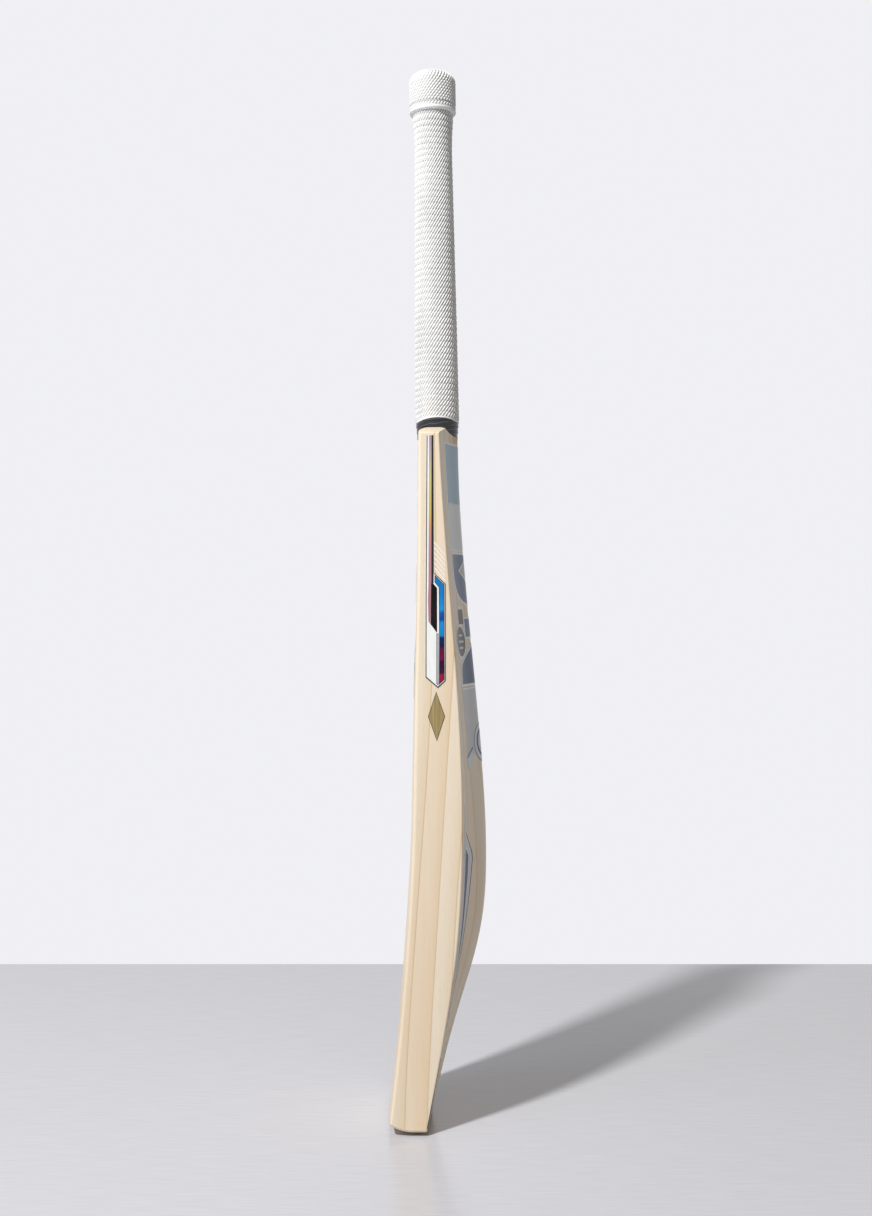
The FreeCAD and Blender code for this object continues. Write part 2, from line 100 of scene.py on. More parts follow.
def sanded_willow():
    """English willow, shaped with a drawknife and sanded: pale and dry to the eye. Straight growth
    rings stand 12 mm apart on the face and 16 mm apart on the edge, where they follow the bow of
    the blade. Each ends in a thin orange-brown line and has its own tint. The lengthwise fibre is
    drawn 1.1 mm wide, as coarse as it needs to show, and the short pore flecks 0.7 mm wide."""
    material, tree, shader, place = new_material("sanded_english_willow")
    axes = add(tree, "SeparateXYZ", {"Vector": place}).outputs
    slow = add(tree, "Mapping", {"Vector": place, "Scale": (9, 22, 2.5)}).outputs[0]
    drift = add(tree, "TexNoise", {"Vector": slow, "Scale": 1.0, "Detail": 1.0}).outputs["Fac"]
    bow = add(
        tree,
        "MapRange",
        {"Value": axes["Z"], "From Min": -0.06, "From Max": 0.48, "To Max": 0.032},
        interpolation_type="SMOOTHSTEP",
    ).outputs[0]
    depth = add(tree, "Math", {0: axes["Y"], 1: bow}, operation="SUBTRACT").outputs[0]
    shift = 0.2896 + 31 * RING  # whole rings, chosen for their tints, and a part of one
    across = add(tree, "Math", {0: axes["X"], 1: 0.8, 2: shift}, operation="MULTIPLY_ADD")
    across = add(tree, "Math", {0: depth, 1: 0.6, 2: across.outputs[0]}, operation="MULTIPLY_ADD")
    across = add(tree, "Math", {0: drift, 1: 0.0045, 2: across.outputs[0]}, operation="MULTIPLY_ADD")
    count = add(tree, "Math", {0: across.outputs[0], 1: RING}, operation="DIVIDE").outputs[0]
    ring = add(tree, "Math", {0: count}, operation="FRACT").outputs[0]
    number = add(tree, "Math", {0: count}, operation="FLOOR").outputs[0]
    growth = add(
        tree,
        "ValToRGB",
        {"Fac": ring},
        [
            (0.0, "efe1ca"),
            (0.5, "edddc4"),
            (0.9, "e8d4b6"),
            (0.955, "e1c8a4"),
            (0.975, "cda579"),
            (0.995, "ebdabf"),
        ],
    ).outputs["Color"]
    tint = add(tree, "TexWhiteNoise", {"W": number}, noise_dimensions="1D").outputs["Value"]
    warm = add(tree, "Math", {0: tint, 1: 0.3}, operation="MULTIPLY").outputs[0]
    tinted = add(tree, "Mix", {0: warm, 6: growth, 7: colour("e6c59b")}, data_type="RGBA").outputs[2]
    wide = add(tree, "Mapping", {"Vector": place, "Scale": (30, 60, 4)}).outputs[0]
    broad = add(tree, "TexNoise", {"Vector": wide, "Scale": 1.0, "Detail": 3.0}).outputs["Fac"]
    cloud = add(
        tree, "MapRange", {"Value": broad, "From Min": 0.5, "From Max": 0.72, "To Max": 0.3}
    ).outputs[0]
    clouded = add(tree, "Mix", {0: cloud, 6: tinted, 7: colour("eacea8")}, data_type="RGBA").outputs[2]
    fine = add(tree, "Mapping", {"Vector": place, "Scale": (900, 900, 22)}).outputs[0]
    fibre = add(tree, "TexNoise", {"Vector": fine, "Scale": 1.0, "Detail": 3.0}).outputs["Fac"]
    shade = add(tree, "MapRange", {"Value": fibre, "To Min": 0.93, "To Max": 1.04}).outputs[0]
    even = add(tree, "CombineColor", {0: shade, 1: shade, 2: shade}).outputs[0]
    toned = add(
        tree, "Mix", {0: 1.0, 6: clouded, 7: even}, data_type="RGBA", blend_type="MULTIPLY"
    ).outputs[2]
    short = add(tree, "Mapping", {"Vector": place, "Scale": (1500, 1500, 160)}).outputs[0]
    fleck = add(tree, "TexNoise", {"Vector": short, "Scale": 1.0, "Detail": 1.0}).outputs["Fac"]
    pores = add(
        tree, "MapRange", {"Value": fleck, "From Min": 0.66, "From Max": 0.74, "To Max": 0.2}
    ).outputs[0]
    flecked = add(tree, "Mix", {0: pores, 6: toned, 7: colour("b99a72")}, data_type="RGBA").outputs[2]
    grooves = add(tree, "Math", {0: pores, 1: -3.0, 2: fibre}, operation="MULTIPLY_ADD").outputs[0]
    bump = add(tree, "Bump", {"Height": grooves, "Strength": 0.19, "Distance": 0.00012})
    rough = add(tree, "MapRange", {"Value": fibre, "To Min": 0.36, "To Max": 0.5}).outputs[0]
    feed(tree, shader, {"Base Color": flecked, "Roughness": rough, "Normal": bump.outputs[0]})
    return material


def turned_cane():
    """Manau cane, sawn, glued and turned: a straw brown with long dark vessels 0.8 mm wide."""
    material, tree, shader, place = new_material("turned_manau_cane")
    fine = add(tree, "Mapping", {"Vector": place, "Scale": (1300, 1300, 20)}).outputs[0]
    vessel = add(tree, "TexNoise", {"Vector": fine, "Scale": 1.0, "Detail": 3.0}).outputs["Fac"]
    stops = [(0.32, "a88356"), (0.45, "d6b684"), (0.7, "e6cfa4")]
    body = add(tree, "ValToRGB", {"Fac": vessel}, stops).outputs["Color"]
    wide = add(tree, "Mapping", {"Vector": place, "Scale": (120, 120, 8)}).outputs[0]
    broad = add(tree, "TexNoise", {"Vector": wide, "Scale": 1.0, "Detail": 2.0}).outputs["Fac"]
    stain = add(tree, "MapRange", {"Value": broad, "To Max": 0.3}).outputs[0]
    tinted = add(tree, "Mix", {0: stain, 6: body, 7: colour("c79f66")}, data_type="RGBA").outputs[2]
    bump = add(tree, "Bump", {"Height": vessel, "Strength": 0.35, "Distance": 0.00015})
    feed(tree, shader, {"Base Color": tinted, "Roughness": 0.48, "Normal": bump.outputs[0]})
    return material


def cut_rubber():
    """Cut sheet rubber between the slabs: dull, near black, with a grain of 0.5 mm."""
    material, tree, shader, place = new_material("cut_sheet_rubber")
    grain = add(tree, "TexNoise", {"Vector": place, "Scale": 2200.0, "Detail": 3.0}).outputs["Fac"]
    body = add(tree, "ValToRGB", {"Fac": grain}, [(0.3, "17181a"), (0.7, "26282b")]).outputs["Color"]
    bump = add(tree, "Bump", {"Height": grain, "Strength": 0.3, "Distance": 0.0001})
    feed(tree, shader, {"Base Color": body, "Roughness": 0.72, "Normal": bump.outputs[0]})
    return material


def waxed_twine():
    """Waxed linen thread wound on tight: cream, with a twist of fibres about every millimetre."""
    material, tree, shader, place = new_material("waxed_linen_twine")
    twist = add(
        tree,
        "TexWave",
        {"Vector": place, "Scale": 350.0, "Distortion": 1.5, "Detail": 2.0},
        wave_type="BANDS",
        bands_direction="DIAGONAL",
    ).outputs["Fac"]
    body = add(tree, "ValToRGB", {"Fac": twist}, [(0.1, "b9a47c"), (0.8, "e6d9b8")]).outputs["Color"]
    bump = add(tree, "Bump", {"Height": twist, "Strength": 0.5, "Distance": 0.0002})
    feed(tree, shader, {"Base Color": body, "Roughness": 0.5, "Normal": bump.outputs[0]})
    return material


def moulded_rubber(part, stops):
    """Natural rubber filled with white pigment, moulded: matt white with a faint skin 0.4 mm
    across, and a little greyer in broad patches where hands have held it."""
    material, tree, shader, place = new_material("moulded_white_rubber_" + part)
    skin = add(tree, "TexNoise", {"Vector": place, "Scale": 2600.0, "Detail": 2.0}).outputs["Fac"]
    wide = add(tree, "Mapping", {"Vector": place, "Scale": (60, 60, 25)}).outputs[0]
    held = add(tree, "TexNoise", {"Vector": wide, "Scale": 1.0, "Detail": 2.0}).outputs["Fac"]
    clean = add(tree, "ValToRGB", {"Fac": held}, stops).outputs["Color"]
    bump = add(tree, "Bump", {"Height": skin, "Strength": 0.2, "Distance": 0.00008})
    rough = add(tree, "MapRange", {"Value": skin, "To Min": 0.5, "To Max": 0.66}).outputs[0]
    feed(tree, shader, {"Base Color": clean, "Roughness": rough, "Normal": bump.outputs[0]})
    shader.inputs["Specular IOR Level"].default_value = 0.3
    return material


def stretched_tape():
    """Stretched PVC tape, wound on in turns 3.6 mm apart that climb round the handle: near black
    and glossy, with fine drag lines, and a pale line along the edge of each turn that is a painted
    highlight."""
    material, tree, shader, place = new_material("stretched_pvc_tape")
    fine = add(tree, "Mapping", {"Vector": place, "Scale": (40, 40, 1500)}).outputs[0]
    drag = add(tree, "TexNoise", {"Vector": fine, "Scale": 1.0, "Detail": 3.0}).outputs["Fac"]
    axes = add(tree, "SeparateXYZ", {"Vector": place}).outputs
    climb = add(tree, "Math", {0: axes["Y"], 1: -0.16, 2: axes["Z"]}, operation="MULTIPLY_ADD")
    pull = add(tree, "TexNoise", {"Vector": place, "Scale": 90.0, "Detail": 2.0}).outputs["Fac"]
    wander = add(tree, "Math", {0: pull, 1: 0.0022, 2: climb.outputs[0]}, operation="MULTIPLY_ADD")
    turns = add(tree, "Math", {0: wander.outputs[0], 1: 0.0036}, operation="DIVIDE").outputs[0]
    turn = add(tree, "Math", {0: turns, 1: 0.5}, operation="PINGPONG").outputs[0]
    # the pale first stop is a painted highlight along the edge of each turn
    stops = [(0.0, "63646c"), (0.09, "1c1d21"), (1.0, "202126")]
    body = add(tree, "ValToRGB", {"Fac": turn}, stops).outputs["Color"]
    height = add(tree, "Math", {0: drag, 1: 0.15, 2: turn}, operation="MULTIPLY_ADD").outputs[0]
    bump = add(tree, "Bump", {"Height": height, "Strength": 0.4, "Distance": 0.0004})
    rough = add(tree, "MapRange", {"Value": drag, "To Min": 0.2, "To Max": 0.38}).outputs[0]
    feed(tree, shader, {"Base Color": body, "Roughness": rough, "Normal": bump.outputs[0]})
    return material


def bonded_rubber():
    """Clear synthetic rubber bonded to the toe: milky, satin, clouded by the glue under it."""
    material, tree, shader, place = new_material("bonded_clear_rubber")
    glue = add(tree, "TexNoise", {"Vector": place, "Scale": 90.0, "Detail": 3.0}).outputs["Fac"]
    body = add(tree, "ValToRGB", {"Fac": glue}, [(0.3, "b9a88f"), (0.7, "d3c4ab")]).outputs["Color"]
    grit = add(tree, "TexNoise", {"Vector": place, "Scale": 1400.0, "Detail": 2.0}).outputs["Fac"]
    bump = add(tree, "Bump", {"Height": grit, "Strength": 0.19, "Distance": 0.0001})
    feed(tree, shader, {"Base Color": body, "Roughness": 0.45, "Normal": bump.outputs[0]})
    return material


def printed_vinyl(ink, hex_value):
    """Screen-printed vinyl film: an ink with a faint lengthwise cloud in it, satin, with the
    orange peel of the film, 0.9 mm across."""
    material, tree, shader, place = new_material("printed_vinyl_" + ink)
    wide = add(tree, "Mapping", {"Vector": place, "Scale": (420, 420, 30)}).outputs[0]
    cloud = add(tree, "TexNoise", {"Vector": wide, "Scale": 1.0, "Detail": 3.0}).outputs["Fac"]
    shade = add(tree, "MapRange", {"Value": cloud, "To Min": 0.88, "To Max": 1.08}).outputs[0]
    even = add(tree, "CombineColor", {0: shade, 1: shade, 2: shade}).outputs[0]
    inked = add(
        tree, "Mix", {0: 1.0, 6: even, 7: colour(hex_value)}, data_type="RGBA", blend_type="MULTIPLY"
    ).outputs[2]
    peel = add(tree, "TexNoise", {"Vector": place, "Scale": 1100.0, "Detail": 1.0}).outputs["Fac"]
    bump = add(tree, "Bump", {"Height": peel, "Strength": 0.15, "Distance": 0.00006})
    rough = add(tree, "MapRange", {"Value": cloud, "To Min": 0.34, "To Max": 0.46}).outputs[0]
    feed(tree, shader, {"Base Color": inked, "Roughness": rough, "Normal": bump.outputs[0]})
    shader.inputs["Specular IOR Level"].default_value = 0.35
    return material


def blended_foil(name, low, high, swirl, stops):
    """Metallised foil with blended inks along the bat: colour runs from low to high, in
    millimetres, and drifts by part of swirl like ink drawn out by the squeegee."""
    material, tree, shader, place = new_material("blended_foil_" + name)
    axes = add(tree, "SeparateXYZ", {"Vector": place}).outputs
    wide = add(tree, "Mapping", {"Vector": place, "Scale": (120, 260, 70)}).outputs[0]
    drift = add(tree, "TexNoise", {"Vector": wide, "Scale": 1.0, "Detail": 3.0}).outputs["Fac"]
    drawn = add(tree, "Math", {0: drift, 1: swirl * MM, 2: axes["Z"]}, operation="MULTIPLY_ADD")
    start = (low + swirl / 2) * MM
    inputs = {"Value": drawn.outputs[0], "From Min": start, "From Max": start + (high - low) * MM}
    run = add(tree, "MapRange", inputs).outputs[0]
    body = add(tree, "ValToRGB", {"Fac": run}, stops).outputs["Color"]
    flake = add(tree, "TexNoise", {"Vector": place, "Scale": 1800.0, "Detail": 1.0}).outputs["Fac"]
    bump = add(tree, "Bump", {"Height": flake, "Strength": 0.12, "Distance": 0.00005})
    feed(tree, shader, {"Base Color": body, "Roughness": 0.35, "Normal": bump.outputs[0]})
    shader.inputs["Specular IOR Level"].default_value = 0.15
    return material


def stamped_gold():
    """Antique gold hot-stamped foil: dull tan with a faint gleam and a brushing 0.6 mm fine."""
    material, tree, shader, place = new_material("stamped_antique_gold_foil")
    fine = add(tree, "Mapping", {"Vector": place, "Scale": (1800, 1800, 30)}).outputs[0]
    line = add(tree, "TexNoise", {"Vector": fine, "Scale": 1.0, "Detail": 2.0}).outputs["Fac"]
    body = add(tree, "ValToRGB", {"Fac": line}, [(0.3, "8f7c4e"), (0.7, "b29c6a")]).outputs["Color"]
    rough = add(tree, "MapRange", {"Value": line, "To Min": 0.38, "To Max": 0.52}).outputs[0]
    feed(tree, shader, {"Base Color": body, "Roughness": rough, "Metallic": 0.3})
    return material


# Ink of each printed finish, as an sRGB hex value.
INKS = {
    "white": "f6f6f4",
    "pale": "dcdfe0",
    "line_grey": "bfc2c8",
    "black": "141418",
    "graphite": "232328",
    "dark": "4c4845",
    "slate": "62718a",
    "navy": "43536f",
    "deep_navy": "1d2b4c",
    "blue_grey": "a6bfcd",
    "grey": "e6e6e4",
    "silver": "cdcecd",
    "window": "c9bcab",
    "cream": "f6ebdd",
    "ice": "dbe0e8",
}
FINISH = {ink: printed_vinyl(ink, hex_value) for ink, hex_value in INKS.items()}
FINISH["willow"] = sanded_willow()
FINISH["cane"] = turned_cane()
FINISH["spring"] = cut_rubber()
FINISH["twine"] = waxed_twine()
FINISH["rubber"] = moulded_rubber("nubs", [(0.3, "efefed"), (0.65, "f6f6f4")])
# Painted shade: the wall between the nubs is greyer than the real recesses, standing in for the shadow
# in them, as they are too shallow for their shadow to show.
FINISH["recess"] = moulded_rubber("recesses", [(0.3, "d0d0cd"), (0.65, "dcdcd8")])
FINISH["tape"] = stretched_tape()
FINISH["toe"] = bonded_rubber()
FINISH["gold"] = stamped_gold()
FINISH["stripe_foil"] = blended_foil(
    "stripe",
    404.0,
    553.0,
    6.0,
    [
        (0.0, "b07f8a"),
        (0.38, "b9878a"),
        (0.5, "cb9576"),
        (0.6, "cbb35c"),
        (0.78, "c9c184"),
        (0.9, "b9a7a0"),
        (1.0, "ab8fa2"),
    ],
)
FINISH["band_foil"] = blended_foil(
    "band",
    356.0,
    444.0,
    3.0,
    [
        (0.0, "8c1434"),
        (0.08, "a01a40"),
        (0.1, "3a1030"),
        (0.2, "2c0c28"),
        (0.22, "70123c"),
        (0.32, "5a1038"),
        (0.34, "0f1b40"),
        (0.42, "12204c"),
        (0.44, "1a84c8"),
        (0.55, "1f8cd2"),
        (0.58, "0f4690"),
        (0.64, "155aa6"),
        (0.67, "2392d6"),
        (0.8, "1c7cc0"),
        (1.0, "1a72b4"),
    ],
)
FINISH["night_foil"] = blended_foil(
    "night",
    398.0,
    436.0,
    6.0,
    [(0.0, "060608"), (0.35, "1a1410"), (0.6, "0e0e10"), (1.0, "050506")],
)


# ---- CAD pieces that keep their shape ----------------------------------------------------------
# Finish by the start of a node's name. Where two starts fit a node, the later one holds.
CAD_FINISH = {
    "willow_blade": "willow",
    "cane_slab": "cane",
    "rubber_spring": "spring",
    "twine_whipping": "twine",
    "throat_tape": "tape",
    "toe_guard": "toe",
    "edge_label": "white",
    "face_label": "white",
    "back_": "white",
    "back_flash": "silver",
    "back_roundel": "silver",
    "back_tail_label": "silver",
    "edge_emblem": "graphite",
}
for start, finish in CAD_FINISH.items():
    for name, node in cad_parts.items():
        if name.startswith(start):
            for holder in node.material_slots:
                holder.material = FINISH[finish]


# ---- building tools ----------------------------------------------------------------------------
TURN_STEPS = 96  # facets round a turned piece
NUB_ROOT = 0.1  # share of a nub's height that reaches into the wall under it


def take_in(bm, other):
    """Adds another bmesh to this one and frees it."""
    mesh = bpy.data.meshes.new("loose")
    other.to_mesh(mesh)
    other.free()
    bm.from_mesh(mesh)
    bpy.data.meshes.remove(mesh)


def make_piece(name, bm, finishes, replaced=(), sharp=40.0):
    """Turns a bmesh into a piece that rides with the bat. A fold over sharp degrees is an edge."""
    bmesh.ops.recalc_face_normals(bm, faces=bm.faces)
    mesh = bpy.data.meshes.new(name)
    bm.to_mesh(mesh)
    bm.free()
    mesh.shade_smooth()
    mesh.set_sharp_from_angle(angle=math.radians(sharp))
    for finish in finishes:
        mesh.materials.append(FINISH[finish])
    piece = bpy.data.objects.new(name, mesh)
    bpy.context.scene.collection.objects.link(piece)
    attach(piece, "root")
    if replaced:
        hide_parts(*replaced)


def lathe(profile):
    """A closed outline of (radius, height) turned about the handle's axis."""
    bm = bmesh.new()
    verts = [bm.verts.new((r * MM, HANDLE_Y * MM, z * MM)) for r, z in profile]
    edges = [bm.edges.new(pair) for pair in zip(verts, verts[1:] + verts[:1])]
    bmesh.ops.spin(
        bm,
        geom=verts + edges,
        cent=(0, HANDLE_Y * MM, 0),
        axis=(0, 0, 1),
        angle=2 * math.pi,
        steps=TURN_STEPS,
        use_merge=True,
    )
    return bm


def along(table, z):
    """Straight-line reading of a (height, value) table."""
    for (z0, v0), (z1, v1) in zip(table, table[1:]):
        if z <= z1:
            return v0 + (v1 - v0) * (z - z0) / (z1 - z0)
    return table[-1][1]


def white_lip_shaded_wall(bm, top):
    """Gives the lip below a height the nubs' finish, and the wall over it the greyer finish that paints
    the shade of the recesses.
    """
    for face in bm.faces:
        face.material_index = int(face.calc_center_median().z < top * MM)


def make_nub(half_length, half_width, height, lean):
    """One moulded nub: a flattened grain that stands out along X and leans as it rises."""
    bm = bmesh.new()
    bmesh.ops.create_uvsphere(bm, u_segments=8, v_segments=6, radius=1.0)
    shape = (
        Matrix.Rotation(-math.radians(lean), 4, "X")
        @ Matrix.Diagonal((height * MM, half_width * MM, half_length * MM, 1.0))
        @ Matrix.Rotation(math.pi / 2, 4, "Y")
        @ Matrix.Rotation(math.pi / 8, 4, "Z")  # so that it ends in a small flat, not a point
    )
    bmesh.ops.transform(bm, matrix=shape, verts=bm.verts)
    everything = bm.verts[:] + bm.edges[:] + bm.faces[:]
    root = (-NUB_ROOT * height * MM, 0, 0)
    bmesh.ops.bisect_plane(bm, geom=everything, plane_co=root, plane_no=(1, 0, 0), clear_inner=True)
    bmesh.ops.holes_fill(bm, edges=[e for e in bm.edges if e.is_boundary])
    for face in bm.faces:
        face.material_index = 1
    return bm


def nub_row(bm, nub, radius, z, count, turn, tilt=0.0):
    """One ring of nubs round the handle. turn shifts it round, tilt leans it with the surface."""
    ring = nub.copy()
    outwards = Matrix.Translation((radius * MM, 0, 0)) @ Matrix.Rotation(-tilt, 4, "Y")
    bmesh.ops.transform(ring, matrix=outwards, verts=ring.verts)
    bmesh.ops.spin(
        ring,
        geom=ring.verts[:] + ring.edges[:] + ring.faces[:],
        cent=(0, 0, 0),
        axis=(0, 0, 1),
        angle=2 * math.pi * (count - 1) / count,
        steps=count - 1,
        use_duplicate=True,
    )
    lift = Matrix.Translation((0, HANDLE_Y * MM, z * MM)) @ Matrix.Rotation(turn, 4, "Z")
    bmesh.ops.transform(ring, matrix=lift, verts=ring.verts)
    take_in(bm, ring)


# ---- grip and collar ---------------------------------------------------------------------------
SOFT_EDGES = 60.0  # degrees: only a sharper fold than this shows as an edge on moulded rubber

GRIP_BOTTOM, GRIP_TOP = 568.2, 824.5
# Radius over the nubs of the grip: height, radius.
GRIP_TOPS = [(560.0, 18.2), (640.0, 17.5), (792.0, 15.5), (806.0, 15.9), (819.0, 16.8), (853.0, 16.8)]
GRIP_WALL_FROM = 574.0
GRIP_LIP_TOP = 570.5  # the lip below this height has the nubs' white, without the painted shade of the wall above it
NUB_HEIGHT = 1.1  # deeper than the real moulding, so that its rows show
GRIP_NUB = (3.9, 0.68, NUB_HEIGHT, 33.0)  # half length, half width, height, lean in degrees
FIRST_ROW = 4.3  # the lowest row of nubs, over the grip's lower end
ROW_PITCH = 4.9
ROW_COUNT = 43  # nubs in a row
ROWS_END = 1.0  # no row stands nearer than this to the upper end
ROW_SHIFT = 3.18  # each row is this much further round the handle than the one below it
GRIP_MEAN_R = 17.0
SADDLE_R = 52.0  # the grip's lower end rides over the shoulders on this curve
SADDLE_REACH = 26.0  # the rows still feel the saddle this far up

COLLAR_WALL_R, COLLAR_TOP, COLLAR_SHOULDER_R = 18.5, 856.8, 8.2
COLLAR_LIP_TOP = 826.7
COLLAR_CREST = 0.35  # the top stands this much over the shoulder's round
ARC_STEPS = 10
COLLAR_LOW_NUB = (1.7, 0.72, 0.6, 38.0)  # as for the grip
COLLAR_NUB = (1.6, 0.72, 0.75, 38.0)
COLLAR_LOW_ROW, COLLAR_FIRST_ROW = 827.95, 831.6  # between the fine rings, and over the upper one
COLLAR_ROW_PITCH = 2.3
COLLAR_ROW_COUNT = 45  # nubs in a row on the wall
COLLAR_ROW_SHIFT = 1.75
COLLAR_NUB_SPACING = 2.62  # between the nubs of a row on the shoulder
COLLAR_NUBS_END = 1.45  # radians up the shoulder's round, where the nubs stop


def build_grip():
    """The ribbed tube: a plain wall, a smooth rolled lip below, and rows of leaning nubs."""
    outside = [(17.0, GRIP_BOTTOM + 0.1), (17.75, GRIP_BOTTOM + 0.35), (17.85, 569.3), (17.4, 570.2)]
    z = GRIP_WALL_FROM
    while z < GRIP_TOP:
        outside.append((along(GRIP_TOPS, z) - NUB_HEIGHT, z))
        z += ROW_PITCH
    outside.append((along(GRIP_TOPS, GRIP_TOP) - NUB_HEIGHT, GRIP_TOP))
    inside = [(15.0, GRIP_TOP), (13.6, 792.0), (16.3, GRIP_WALL_FROM), (16.3, GRIP_BOTTOM)]
    bm = lathe(outside + inside)
    white_lip_shaded_wall(bm, GRIP_LIP_TOP)
    nub = make_nub(*GRIP_NUB)
    row, z = 0, GRIP_BOTTOM + FIRST_ROW
    while z < GRIP_TOP - ROWS_END:
        radius = along(GRIP_TOPS, z) - NUB_HEIGHT
        nub_row(bm, nub, radius, z, ROW_COUNT, row * ROW_SHIFT / GRIP_MEAN_R)
        row += 1
        z += ROW_PITCH
    for v in bm.verts:
        fade = max(0.0, 1.0 - (v.co.z / MM - GRIP_BOTTOM) / SADDLE_REACH)
        v.co.z += (SADDLE_R - math.sqrt(SADDLE_R**2 - (v.co.x / MM) ** 2)) * fade * MM
    # the wall between the nubs takes the greyer finish, painted shade in the recesses
    finishes = ["recess", "rubber"]
    make_piece("ribbed_rubber_grip", bm, finishes, ["rubber_grip"], SOFT_EDGES)


def build_collar():
    """The turned-back cuff: rolled lip, two fine rings, small nubs that run over the shoulder."""
    wall, top, shoulder = COLLAR_WALL_R, COLLAR_TOP, COLLAR_SHOULDER_R
    profile = [(16.2, 853.0), (16.2, 823.3), (17.2, 823.0), (18.3, 823.25), (19.0, 824.1), (19.2, 824.9)]
    profile += [(19.0, 825.7), (18.5, 826.1), (18.95, 826.45), (wall, 826.9), (wall, 829.1)]
    profile += [(18.95, 829.45), (18.35, 829.8), (wall, 830.1)]
    arc = [math.pi / 2 * i / ARC_STEPS for i in range(ARC_STEPS + 1)]
    centre_r, centre_z = wall - shoulder, top - COLLAR_CREST - shoulder
    profile += [(centre_r + shoulder * math.cos(a), centre_z + shoulder * math.sin(a)) for a in arc]
    profile += [(9.8, 856.6), (9.2, 856.0), (9.0, 855.0), (9.0, 853.0)]
    bm = lathe(profile)
    white_lip_shaded_wall(bm, COLLAR_LIP_TOP)
    nub_row(bm, make_nub(*COLLAR_LOW_NUB), wall, COLLAR_LOW_ROW, COLLAR_ROW_COUNT, 0.0)
    nub = make_nub(*COLLAR_NUB)
    row, z = 0, COLLAR_FIRST_ROW
    while z < centre_z:
        nub_row(bm, nub, wall, z, COLLAR_ROW_COUNT, row * COLLAR_ROW_SHIFT / wall)
        row += 1
        z += COLLAR_ROW_PITCH
    angle = (z - centre_z) / shoulder
    while angle < COLLAR_NUBS_END:
        radius = centre_r + shoulder * math.cos(angle)
        height = centre_z + shoulder * math.sin(angle)
        count = round(2 * math.pi * radius / COLLAR_NUB_SPACING)
        nub_row(bm, nub, radius, height, count, row * COLLAR_ROW_SHIFT / wall, angle)
        row += 1
        angle += COLLAR_ROW_PITCH / shoulder
    # the wall between the nubs takes the greyer finish, painted shade in the recesses
    finishes = ["recess", "rubber"]
    make_piece("turned_back_collar", bm, finishes, ["grip_collar"], SOFT_EDGES)


build_grip()
build_collar()


# ---- printed areas -----------------------------------------------------------------------------
SIDES = ((-1, "left"), (1, "right"))
INK_STEP = 0.05  # each level of print stands this much over the one below
BLADE_INK_BASE, EDGE_INK_BASE = 0.07, 0.03  # level 0, over the film: more where the blade is curved
INK_SKIN = 0.12  # thickness of a print, which reaches down into the film
NET = ((0, 3.0), (2, 9.0))  # axis and pitch of the net that lets a print follow the blade
OUTSIDE = 0.2  # metres: a place well outside the blade
PANEL_RIM = 1.3  # white border of the panels down the spine


def surface_of(*names):
    """The outside of some CAD pieces, to lay prints on."""
    bm = bmesh.new()
    for name in names:
        bm.from_mesh(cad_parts[name].data)
    tree = BVHTree.FromBMesh(bm)
    bm.free()
    return tree


def flat_area(corners, ink, rim, rim_width):
    """A flat area in the XZ plane. rim is the ink of a border of that width inside its edge."""
    bm = bmesh.new()
    face = bm.faces.new([bm.verts.new((a * MM, 0, z * MM)) for a, z in corners])
    face.material_index = ink
    bm.normal_update()
    if rim is not None:
        border = bmesh.ops.inset_region(
            bm, faces=[face], thickness=rim_width * MM, use_even_offset=True, use_boundary=True
        )
        for strip in border["faces"]:
            strip.material_index = rim
    return bm


def thicken(bm, inwards):
    """Gives a laid area its thickness, so that it is a closed skin sunk into the film."""
    skin = bmesh.ops.extrude_face_region(bm, geom=bm.faces[:])["geom"]
    moved = [v for v in skin if isinstance(v, bmesh.types.BMVert)]
    bmesh.ops.translate(bm, verts=moved, vec=inwards * INK_SKIN * MM)


def lay_on(bm, tree, side, level):
    """Cuts a flat area into a fine net and drops it on the blade from the back (+1) or face (-1)."""
    lift = (BLADE_INK_BASE + INK_STEP * level) * MM
    for axis, pitch in NET:
        step = pitch * MM
        values = [v.co[axis] for v in bm.verts]
        cut = math.ceil(min(values) / step) * step
        while cut < max(values):
            plane = Vector((0, 0, 0))
            plane[axis] = cut
            normal = Vector((0, 0, 0))
            normal[axis] = 1.0
            bmesh.ops.bisect_plane(
                bm, geom=bm.verts[:] + bm.edges[:] + bm.faces[:], plane_co=plane, plane_no=normal
            )
            cut += step
    for v in bm.verts:
        start = Vector((v.co.x, side * OUTSIDE, v.co.z))
        hit = tree.ray_cast(start, Vector((0, -side, 0)))[0]
        if hit is None:
            hit = tree.find_nearest(start)[0]
        v.co.y = hit.y + side * lift
    thicken(bm, Vector((0, -side, 0)))


def on_side(right, side):
    """An outline of the right half of the bat (+1), or its mirror image on the left half (-1)."""
    return right if side > 0 else [(-a, z) for a, z in right[::-1]]


def both_halves(right):
    """A closed outline from its right half, which runs from top to bottom."""
    return right + [(-a, z) for a, z in right[::-1] if a]


def ribbon(points, shift, width):
    """A band that runs down beside a line of points, towards the edge of the blade."""
    near = [(a + shift, z) for a, z in points]
    return near + [(a + width, z) for a, z in near[::-1]]


def oval(cx, cz, half_width, half_height, steps=36):
    """Corners of an ellipse."""
    angles = [2 * math.pi * i / steps for i in range(steps)]
    return [(cx + half_width * math.cos(a), cz + half_height * math.sin(a)) for a in angles]


def disc(cz, radius):
    """Corners of a circle on the middle line of the bat."""
    return oval(0.0, cz, radius, radius, 48)


def box(x0, x1, z0, z1):
    """Corners of an upright rectangle."""
    return [(x0, z0), (x1, z0), (x1, z1), (x0, z1)]


def printed(outline, ink, level=1, rim=None, rim_width=0.0):
    """One printed area. rim is the ink of a border of that width inside its edge."""
    return outline, ink, rim, rim_width, level


def inks_of(areas):
    """The finishes that some printed areas use, each once."""
    used = [ink for area in areas for ink in area[1:3] if ink]
    return list(dict.fromkeys(used))


